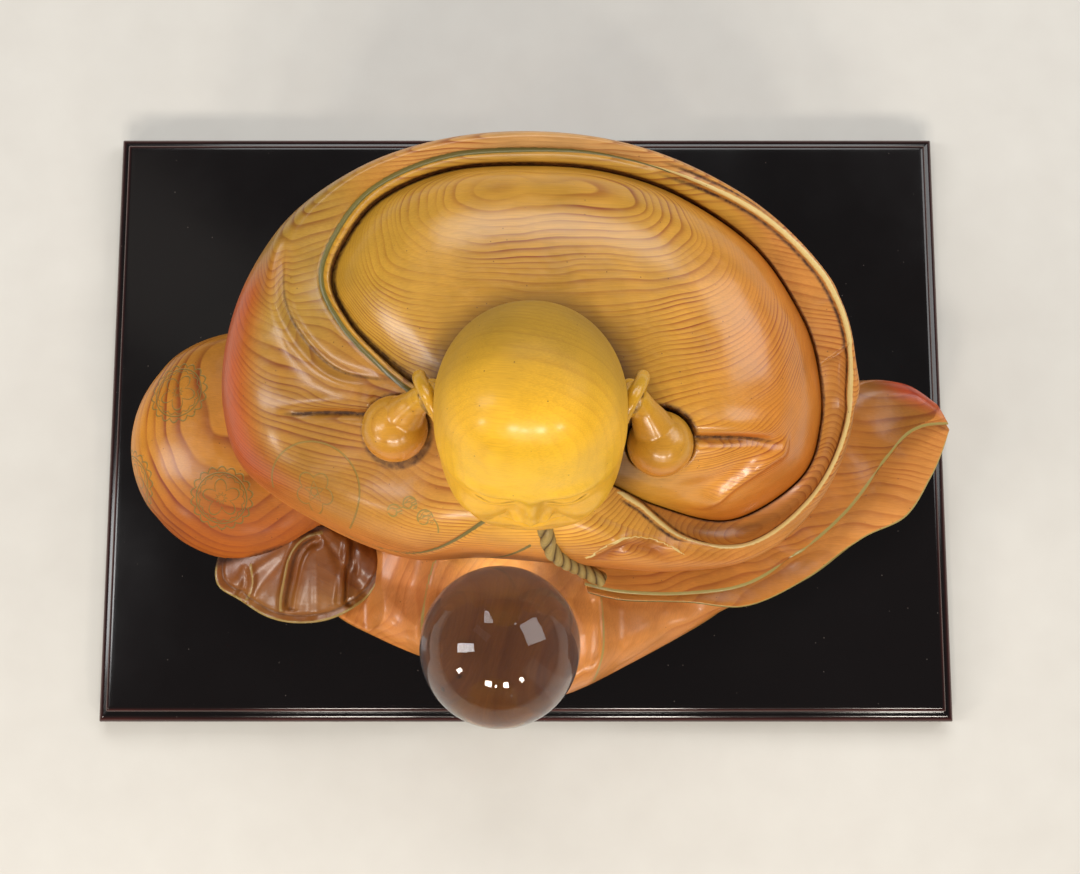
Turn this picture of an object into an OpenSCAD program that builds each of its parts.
// Seated monk carved from blocks of wood, with a crystal ball on the lap, on a lacquered board.
// Millimetres, +Z up. The origin is the middle of the board's footprint, on the table, and the
// figure faces -Y. Heights inside the figure are measured from the top of the board.

/* [Board] */
// Width of the board
board_w = 476; // [464:1:560]
// Depth of the board
board_d = 336; // [334:1:420]
// Thickness of the board
board_t = 18; // [15:0.5:28]
// Radius of the lower round of the moulded edge
round_r = 5; // [3:0.5:6]
// Radius of the upper round of the moulded edge
bead_r = 3; // [2:0.5:4]

/* [Felt pads] */
// Diameter of each felt pad
pad_d = 20; // [12:1:30]
// Height of the pads under the board
pad_h = 2; // [1:0.5:4]
// Distance from the board's edges to the middle of a pad
pad_inset = 28; // [20:1:50]

/* [Figure] */
// Breadth of the figure, from the sack to the tip of the hanging sleeve
figure_w = 441; // [420:1:450]
// Distance from the board's middle back to the figure's own middle
figure_back = 2; // [0:0.5:3]
// Width of the head without the ears
head_w = 80; // [76:1:84]
// Depth of the head without the nose
head_d = 88; // [84:1:92]
// Height of the head, from its seat to the crown
head_h = 112; // [104:1:120]
// Diameter of the ball at the end of each ear lobe
lobe_d = 31; // [28:1:33]

/* [Crystal ball] */
// Diameter of the crystal ball
ball_d = 80; // [64:1:80]
// Radius of the dish that the ball sits in
dish_r = 73; // [60:1:90]

/* [Joinery] */
// Diameter of the dowels between the blocks
dowel_d = 8; // [6:0.5:10]
// Length of a dowel
dowel_l = 36; // [24:1:40]
// Diameter of the tenon under the head
tenon_d = 32; // [24:1:34]
// Length of the tenon under the head
tenon_l = 32; // [20:1:40]
// Clearance round a loose fit
fit = 0.3; // [0.2:0.05:0.5]

/* [Hidden] */
$fn = 64;

board_top = pad_h + board_t;
big = 500;                   // longer than anything it cuts
guide_w = 441;               // breadth that the guide points below are set for
k = figure_w / guide_w;
around = 72;                 // points round a carved block

// ---- where the blocks meet, in the figure's own frame ----
front_joint = -72;           // upright face between the robe block and the lap block
sack_joint = -128;           // upright face between the robe block and the sack
recess_floor = 40;           // floor of the recess that holds the bare torso
seat_z = 120;                // flat seat of the head
lap_top = 45.7;              // underside of the robe over the lap
sack_top = 48;               // underside of the robe over the sack
mouth_top = 36;              // underside of the robe over the sack's mouth
sleeve_top = 48;             // underside of the robe over the hanging sleeve
head_at = [4, -20];          // axis of the head
tenon_at = [6, -2];          // axis of the tenon
seat_r = 37;                 // radius of the seat cut round the head
ball_at = [-12, -124];       // lowest point of the dish
dish_z = 28;
sack_span = [-90, 80];       // the recess for the sack, from front to back
dowel_z = 19;                // height of the level dowels
lap_dowel_x = [-52, -8];
sack_dowel_y = -14;
sleeve_dowel_at = [62, -71];
torso_dowel_at = [60, 60];
lobe_out = [23, 19];         // middle of each ear lobe: out from the side of the head,
lobe_y = [-22, -29];         // and its place and height, on the figure's right and left
lobe_z = 124;

// ---- guide curves: closed, hand-set, anticlockwise from the figure's left side ----
// widest line of the robe
robe_wide = [[163, 27, 72], [151, 58, 72], [122, 91, 70], [85, 115, 70], [43, 129, 70], [0, 134, 70],
    [-42, 130, 70], [-80, 117, 70], [-116, 93, 70], [-139, 62, 70], [-151, 28, 68], [-152, -7, 66],
    [-142, -37, 56], [-107, -62, 46], [-62, -79, 50], [-18, -77, 60], [30, -83, 64], [75, -87, 58],
    [118, -80, 54], [149, -54, 58], [165, -15, 66]];
// highest line of the robe: the collar at the back, the shoulder and the chest in front
robe_crest = [[162, 26, 84], [148, 58, 92], [120, 88, 98], [81, 110, 101], [43, 122, 103], [0, 125, 104],
    [-42, 120, 104], [-79, 106, 105], [-106, 82, 107], [-116, 55, 108], [-115, 26, 109], [-108, -10, 110],
    [-97, -32, 104], [-76, -43, 102], [-43, -52, 110], [-9, -54, 112], [29, -59, 104], [65, -68, 80],
    [111, -69, 60], [145, -47, 64], [161, -15, 74]];
// inner edge of the robe, where it meets the bare skin
robe_neck = [[148, 16, 78], [138, 41, 86], [115, 73, 92], [78, 98, 96], [41, 110, 99], [2, 113, 100],
    [-38, 110, 100], [-71, 95, 101], [-88, 72, 104], [-93, 51, 107], [-82, 29, 114], [-63, 9, 121],
    [-51, -1, 124], [-38, -10, 125], [-22, -20, 124], [0, -32, 122], [31, -42, 112], [65, -55, 82],
    [106, -61, 56], [141, -40, 62], [150, -13, 72]];
torso_top = [24, 18, 134];
// outline of the lap block on the board, and the brow of its upper face
lap_foot = [[118, -98], [108, -66], [60, -56], [0, -56], [-60, -56], [-104, -66], [-112, -94], [-104, -110],
    [-80, -123], [-56, -133], [-28, -142], [0, -152], [16, -154], [32, -149], [58, -136], [86, -121],
    [104, -110]];
lap_brow = [[80, -96, 30], [76, -78, 34], [40, -62, 44], [0, -62, 45], [-56, -62, 43], [-74, -67, 36],
    [-78, -88, 32], [-74, -98, 34], [-66, -108, 39], [-52, -118, 45], [-26, -131, 43], [-4, -138, 41],
    [10, -139, 41], [28, -134, 41], [50, -122, 39], [68, -111, 33], [76, -104, 30]];
lap_edge = 10;               // height of the lap's hem over the board
// middle of the sack and its half sizes
sack_at = [-150, -18];
sack_half = [65, 63];
sack_h = 47.6;
// neck of the sack's mouth, the reach of its fan of folds at each angle, and its slanted joint
mouth_at = [-112, -62];
mouth_angle = [196, 209, 222, 240, 259, 285, 311, 336];
mouth_reach = [58, 63, 59, 56, 53, 49, 45, 41];
mouth_joint = [-132, -69];   // a point on the joint between the sack and its mouth
mouth_turn = 18;             // slant of that joint
mouth_folds = 5;
mouth_h = 22;
fold_h = 5;                  // depth of the folds at the hem
// hanging sleeve, from its front end to its tip: inner edge, upper hem and lower hem
sleeve_inner = [[24, -71], [45, -71], [80, -71], [112, -68], [138, -55], [154, -34], [162, -8],
    [178, 14], [204, 14], [221, 4]];
sleeve_hem = [[31, -94, 46], [50, -98, 46], [82, -99, 43], [116, -94, 40], [146, -76, 38], [168, -58, 37],
    [183, -41, 36], [200, -19, 34], [213, -10, 32], [228, -8, 30]];
sleeve_lip = [[33, -98, 40], [52, -102, 39], [85, -103, 35], [118, -105, 28], [152, -90, 23],
    [182, -69, 21], [206, -57, 21], [220, -36, 22], [226, -22, 25], [229, -11, 28]];
// stained cord under the chin: points on its middle line
cord_path = [[11, -70, 101], [14, -78, 92], [20, -82, 80], [28, -85, 66], [39, -91, 54]];
cord_r = 4;

// ---- curves and skins ----
function pick(p, i) = p[(i % len(p) + len(p)) % len(p)];
function held(p, i) = p[max(0, min(len(p) - 1, i))];
function cubic(a, b, c, d, t) =
    0.5 * (2 * b + (c - a) * t + (2 * a - 5 * b + 4 * c - d) * t * t + (3 * b - 3 * c + d - a) * t * t * t);
// closed curve through p, in n points
function closed(p, n = around) = [for (j = [0:n - 1])
    let (s = j * len(p) / n, i = floor(s))
    k * cubic(pick(p, i - 1), pick(p, i), pick(p, i + 1), pick(p, i + 2), s - i)];
// open curve through p, in n steps
function open(p, n) = [for (j = [0:n])
    let (s = j * (len(p) - 1) / n, i = min(floor(s), len(p) - 2))
    cubic(held(p, i - 1), p[i], p[i + 1], held(p, i + 2), s - i)];
function flat(ring) = [for (p = ring) [p.x, p.y]];
function level(ring, z) = [for (p = ring) [p.x, p.y, z]];
function centre(ring) = [for (p = ring) 1] * ring / len(ring);
function grow(ring, about, f) = [for (p = ring) [about.x + (p.x - about.x) * f, about.y + (p.y - about.y) * f, p.z]];
// quarter-round passage from ring a up to ring b
function rolled(a, b, t) = [for (i = [0:len(a) - 1])
    let (f = 1 - cos(90 * t), g = sin(90 * t))
    [a[i].x + (b[i].x - a[i].x) * f, a[i].y + (b[i].y - a[i].y) * f, a[i].z + (b[i].z - a[i].z) * g]];

// closed solid through a stack of rings, each end closed by a fan of triangles
module skin(rings) {
    n = len(rings[0]);
    m = len(rings);
    points = concat([for (r = rings) each r], [centre(rings[0]), centre(rings[m - 1])]);
    sides = [for (j = [0:m - 2], i = [0:n - 1], half = [0, 1])
        let (a = j * n + i, b = j * n + (i + 1) % n)
        half == 0 ? [a, a + n, b] : [b, a + n, b + n]];
    ends = [for (i = [0:n - 1], end = [0, 1])
        let (a = i, b = (i + 1) % n)
        end == 0 ? [a, b, m * n] : [(m - 1) * n + b, (m - 1) * n + a, m * n + 1]];
    polyhedron(points, concat(sides, ends), convexity = 6);
}

module on_board() {
    translate([0, figure_back, board_top]) children();
}

// ---- outlines shared by the blocks ----
neck_ring = closed(robe_neck);
lap_ring = closed([for (p = lap_foot) [p.x, p.y, 0]]);
sleeve_steps = 27;
sleeve_in = open(k * [for (p = sleeve_inner) [p.x, p.y, 0]], sleeve_steps);
sleeve_mid = open(k * sleeve_hem, sleeve_steps);
sleeve_out = open(k * sleeve_lip, sleeve_steps);
mouth_steps = 40;
mouth_edge = open([for (i = [0:len(mouth_angle) - 1]) [mouth_angle[i], mouth_reach[i]]], mouth_steps);

module torso_recess() {
    translate([0, 0, k * recess_floor]) linear_extrude(big) polygon(flat(neck_ring));
}

module head_seat() {
    translate([k * head_at.x, k * head_at.y, k * seat_z]) cylinder(h = big, r = k * seat_r);
}

module sleeve_room() {
    rim = concat(sleeve_in, [for (i = [sleeve_steps:-1:0]) sleeve_out[i]]);
    translate([0, 0, -1]) linear_extrude(k * sleeve_top + 1) polygon(flat(rim));
}

module mouth_room() {
    rim = concat([k * mouth_at], [for (e = mouth_edge) mouth_point(e, 1)]);
    translate([0, 0, -1]) linear_extrude(k * mouth_top + 1) polygon(rim);
}
function mouth_point(e, f) = k * (mouth_at + e[1] * f * [cos(e[0]), sin(e[0])]);

// everything on the sack's side of the slanted joint
module sack_side() {
    translate([k * mouth_joint.x, k * mouth_joint.y, -big / 2])
        rotate([0, 0, mouth_turn]) translate([-big / 2, 0, 0]) cube(big);
}

// level dowel along +Y or +X about the point p, with extra radius for its bore
module dowel(p, turn, extra) {
    translate(k * p) rotate(turn) cylinder(h = dowel_l + 2 * extra, d = dowel_d + 2 * extra, center = true);
}
along_y = [90, 0, 0];
along_x = [0, 90, 0];
upright = [0, 0, 0];
module lap_dowel_pair(extra = 0) {
    for (x = lap_dowel_x) dowel([x, front_joint, dowel_z], along_y, extra);
}
module sack_dowel_one(extra = 0) {
    dowel([sack_joint, sack_dowel_y, dowel_z], along_x, extra);
}
module sleeve_dowel_one(extra = 0) {
    dowel([sleeve_dowel_at.x, sleeve_dowel_at.y, dowel_z], along_y, extra);
}
module torso_dowel_one(extra = 0) {
    dowel([torso_dowel_at.x, torso_dowel_at.y, recess_floor], upright, extra);
}

// ball of an ear lobe; side is -1 on the figure's right and 1 on its left
function lobe_at(side) =
    let (i = side < 0 ? 0 : 1)
    [k * head_at.x + side * (head_w / 2 + lobe_out[i]), k * lobe_y[i], k * lobe_z];
module lobe(side, extra = 0) {
    translate(lobe_at(side)) sphere(d = lobe_d + 2 * extra);
}

// short cord swept along its middle line
module cord(r) {
    p = open(k * cord_path, 9);
    skin([for (i = [0:len(p) - 1])
        let (d = held(p, i + 1) - held(p, i - 1), u = cross(d, [0, 0, 1]), v = cross(u, d))
        [for (j = [0:11]) p[i] + r * (u / norm(u) * cos(30 * j) - v / norm(v) * sin(30 * j))]]);
}

// ---- board ----
// the board's section: flange, round, fillet and bead
module board_section(w) {
    fillet = 1.5;
    flange = board_t - round_r - bead_r - 4;
    step = round_r + fillet;
    top = step + bead_r;
    translate([-w / 2, 0]) {
        square([w, flange]);
        translate([round_r, flange - 1]) square([w - 2 * round_r, round_r + 1 + fillet]);
        for (x = [round_r, w - round_r]) translate([x, flange]) circle(round_r);
        translate([step, flange]) square([w - 2 * step, board_t - bead_r - flange]);
        translate([top, flange]) square([w - 2 * top, board_t - flange]);
        for (x = [top, w - top]) translate([x, board_t - bead_r]) circle(bead_r);
    }
}

module base_board() {
    color("#15100f") translate([0, 0, pad_h]) intersection() {
        translate([0, board_d / 2, 0]) rotate([90, 0, 0]) linear_extrude(board_d) board_section(board_w);
        translate([-board_w / 2, 0, 0]) rotate([90, 0, 90]) linear_extrude(board_w) board_section(board_d);
    }
}

module foot_pads() {
    color("#3a3633") for (x = [-1, 1], y = [-1, 1])
        translate([x * (board_w / 2 - pad_inset), y * (board_d / 2 - pad_inset), 0])
            cylinder(h = pad_h, d = pad_d);
}

// ---- carved blocks ----
module robe_body() {
    wide = closed(robe_wide);
    crest = closed(robe_crest);
    mid = k * [5, 20];
    color("#c9762f") on_board() difference() {
        skin(concat(
            [level(grow(wide, mid, 0.9), 0), level(grow(wide, mid, 0.955), k * 14), level(grow(wide, mid, 0.99), k * 32)],
            [for (t = [0, 0.2, 0.4, 0.6, 0.8, 1]) rolled(wide, crest, t)],
            [for (t = [0.35, 1]) [for (i = [0:around - 1]) crest[i] + (neck_ring[i] - crest[i]) * t]],
            [grow(neck_ring, k * torso_top, 0.6)]));
        torso_recess();
        head_seat();
        sleeve_room();
        mouth_room();
        translate([k * -big / 2, k * front_joint - big, -1]) cube([big, big, k * lap_top + 1]);
        translate([k * sack_joint - big, k * sack_span[0], -1])
            cube([big, k * (sack_span[1] - sack_span[0]), k * sack_top + 1]);
        lobe(-1, fit);
        cord(cord_r + fit / 3);
        lap_dowel_pair(fit / 2);
        sack_dowel_one(fit / 2);
        sleeve_dowel_one(fit / 2);
        torso_dowel_one(fit / 2);
    }
}

module torso() {
    top = k * torso_top;
    // stays a loose fit inside the recess
    edge = [for (p = neck_ring) let (d = [p.x, p.y] - [top.x, top.y], f = 1 - 1.5 * fit / norm(d))
        [top.x + d.x * f, top.y + d.y * f, p.z - k * 5]];
    rise = [[0.03, 0.15], [0.08, 0.36], [0.15, 0.56], [0.26, 0.76], [0.42, 0.9], [0.62, 0.97], [0.82, 1]];
    color("#c98d2e") on_board() difference() {
        skin(concat([level(edge, k * recess_floor), edge],
            [for (s = rise) [for (p = edge)
                [p.x + (top.x - p.x) * s[0], p.y + (top.y - p.y) * s[0], p.z + (top.z - p.z) * s[1]]]]));
        head_seat();
        translate([k * tenon_at.x, k * tenon_at.y, k * seat_z - tenon_l - 1]) cylinder(h = big, d = tenon_d + 2 * fit);
        lobe(1, fit);
        torso_dowel_one(fit / 2);
    }
}

// head: half width, front and back reach at each height, as shares of the head's sizes
head_form = [[0, 0.30, 0.36, 0.23], [0.05, 0.37, 0.43, 0.27], [0.12, 0.43, 0.475, 0.33], [0.24, 0.485, 0.49, 0.41],
    [0.38, 0.5, 0.495, 0.46], [0.52, 0.5, 0.5, 0.49], [0.66, 0.485, 0.485, 0.485], [0.78, 0.435, 0.42, 0.435],
    [0.87, 0.35, 0.32, 0.345], [0.94, 0.24, 0.2, 0.225], [0.98, 0.14, 0.11, 0.135], [1, 0.05, 0.04, 0.05]];
nose_z = 0.42;               // height of the nose's tip, as a share of the head's height
nose_out = 7;
function head_point(s, a) =
    let (ca = cos(a), sa = sin(a),
        x = s[1] * head_w * sign(ca) * pow(abs(ca), 0.9),
        y = (sa < 0 ? s[2] : s[3]) * head_d * sa,
        nose = sa < 0 ? nose_out * exp(-pow(x / 7, 2) - pow((s[0] - nose_z) / 0.1, 2)) : 0)
    [x, y - nose, s[0] * head_h];
ear_inset = 3.5;             // depth of the flat on each side of the head, which carries the ear
ear_plane = head_w / 2 - ear_inset;
ear_low = 14;
ear_high = 62;
ear_front = -10;
ear_back = 28;
module ear_flat(side) {
    translate([side < 0 ? -big - ear_plane : ear_plane, ear_front, ear_low])
        cube([big, ear_back - ear_front, ear_high - ear_low]);
}

module head() {
    color("#d7a92b") on_board() translate([k * head_at.x, k * head_at.y, k * seat_z]) union() {
        difference() {
            skin([for (s = open(head_form, 26)) [for (i = [0:around - 1]) head_point(s, i * 360 / around)]]);
            for (side = [-1, 1]) ear_flat(side);
        }
        translate([k * (tenon_at.x - head_at.x), k * (tenon_at.y - head_at.y), -tenon_l])
            cylinder(h = tenon_l + 4, d = tenon_d);
    }
}

// long ear: a flattened shell on the flat of the head, hanging down to a round lobe
shell_top = [14, 50];        // middle of the shell's top and bottom, as y and z on the flat
shell_foot = [6, 28];
shell_d = 18;
strap_d = 16;                // breadth of the strap that carries the lobe
module ear(side) {
    base = k * [head_at.x, head_at.y, seat_z];
    top = base + [side * ear_plane, shell_top[0], shell_top[1]];
    foot = base + [side * ear_plane, shell_foot[0], shell_foot[1]];
    color("#cf9a2c") on_board() union() {
        intersection() {
            translate(base) ear_flat(side);
            union() {
                hull() {
                    translate(top) sphere(d = shell_d, $fn = 24);
                    translate(foot) sphere(d = shell_d - 1, $fn = 24);
                }
                hull() {
                    translate(foot) sphere(d = shell_d - 1, $fn = 24);
                    translate(lobe_at(side) + [0, 0, lobe_d / 5]) sphere(d = strap_d, $fn = 24);
                }
            }
        }
        lobe(side);
    }
}
module right_ear() { ear(-1); }
module left_ear() { ear(1); }

module lap_block() {
    brow = closed(lap_brow);
    edge = level(lap_ring, k * lap_edge);
    dish_at = k * [ball_at.x, ball_at.y, dish_z] + [0, 0, dish_r];
    color("#b96f33") on_board() difference() {
        skin(concat([grow(lap_ring, k * [0, -100], 0.985), edge],
            [for (t = [0.12, 0.3, 0.5, 0.75, 1]) rolled(grow(edge, k * [0, -100], 0.99), brow, t)]));
        translate([k * -big / 2, k * front_joint, -1]) cube(big);
        translate(dish_at) sphere(dish_r, $fn = 128);
        sleeve_room();
        mouth_room();
        lap_dowel_pair(fit / 2);
    }
}

module sack() {
    at = k * sack_at;
    belly = [[0, 0.78], [0.1, 0.9], [0.25, 0.98], [0.42, 1], [0.6, 0.96], [0.76, 0.86], [0.88, 0.7],
        [0.96, 0.48], [1, 0.2]];
    color("#d08024") on_board() difference() {
        intersection() {
            skin([for (b = belly) [for (i = [0:around - 1]) let (a = i * 360 / around)
                [at.x + k * sack_half.x * b[1] * cos(a), at.y + k * sack_half.y * b[1] * sin(a), k * sack_h * b[0]]]]);
            sack_side();
        }
        translate([k * sack_joint, -big / 2, -1]) cube(big);
        sack_dowel_one(fit / 2);
    }
}

// fan of folds: radial loft, deepest at its hem
module sack_mouth() {
    at = k * [mouth_at.x, mouth_at.y];
    function fold(j, f) = f * k * fold_h * cos(j * 360 * mouth_folds / mouth_steps);
    function rim(f, z, wave) = [for (j = [0:mouth_steps]) let (p = mouth_point(mouth_edge[j], f))
        [p.x, p.y, k * z + (wave ? fold(j, f) : 0)]];
    apex = at + [1, -1];
    function loop(f, z, wave) = concat([[apex.x, apex.y, k * z]], rim(f, z, wave));
    color("#a9692f") on_board() difference() {
        skin([loop(0.82, 0, false), loop(0.93, 7, false), loop(0.99, mouth_h - 6, true), loop(0.97, mouth_h - 1, true),
            loop(0.86, mouth_h + 1, true), loop(0.6, mouth_h + 5, true), loop(0.25, mouth_h + 10, true)]);
        sack_side();
    }
}

module hanging_sleeve() {
    function between(a, b, t, z) = [a.x + (b.x - a.x) * t, a.y + (b.y - a.y) * t, z];
    // one section, from the wall against the robe, over the upper hem, into the mouth and out to the lower hem
    function section(i) =
        let (a = sleeve_in[i], h = sleeve_mid[i], l = sleeve_out[i], end = i / sleeve_steps,
            foot = 6 * pow(end, 4), slot = min(4, (h.z - l.z) / 3))
        [[a.x, a.y, k * foot], [a.x, a.y, h.z + 1], between(a, h, 0.35, h.z + 1.8), between(a, h, 0.75, h.z + 1.2), h,
            between(a, h, 0.98, h.z - 2.2), between(a, h, 0.55, h.z - 2.2 - slot), between(a, l, 0.6, l.z + slot * 0.4),
            between(a, l, 0.95, l.z + 1), l, between(a, l, 0.98, l.z - 3), between(a, l, 0.8, k * (foot + 2)),
            between(a, l, 0.7, k * foot)];
    color("#c77a2c") on_board() difference() {
        skin([for (i = [0:sleeve_steps]) section(i)]);
        sleeve_dowel_one(fit / 2);
    }
}

module waist_cord() {
    color("#7f7a68") on_board() cord(cord_r);
}

module crystal_ball() {
    color("#dfe6e8", 0.5) on_board() translate([k * ball_at.x, k * ball_at.y, k * dish_z + ball_d / 2]) sphere(d = ball_d);
}

// ---- dowels ----
module lap_dowels() { color("#c9a877") on_board() lap_dowel_pair(); }
module sack_dowel() { color("#c9a877") on_board() sack_dowel_one(); }
module sleeve_dowel() { color("#c9a877") on_board() sleeve_dowel_one(); }
module torso_dowel() { color("#c9a877") on_board() torso_dowel_one(); }

base_board();
foot_pads();
robe_body();
torso();
head();
right_ear();
left_ear();
lap_block();
sack();
sack_mouth();
hanging_sleeve();
waist_cord();
crystal_ball();
lap_dowels();
sack_dowel();
sleeve_dowel();
torso_dowel();
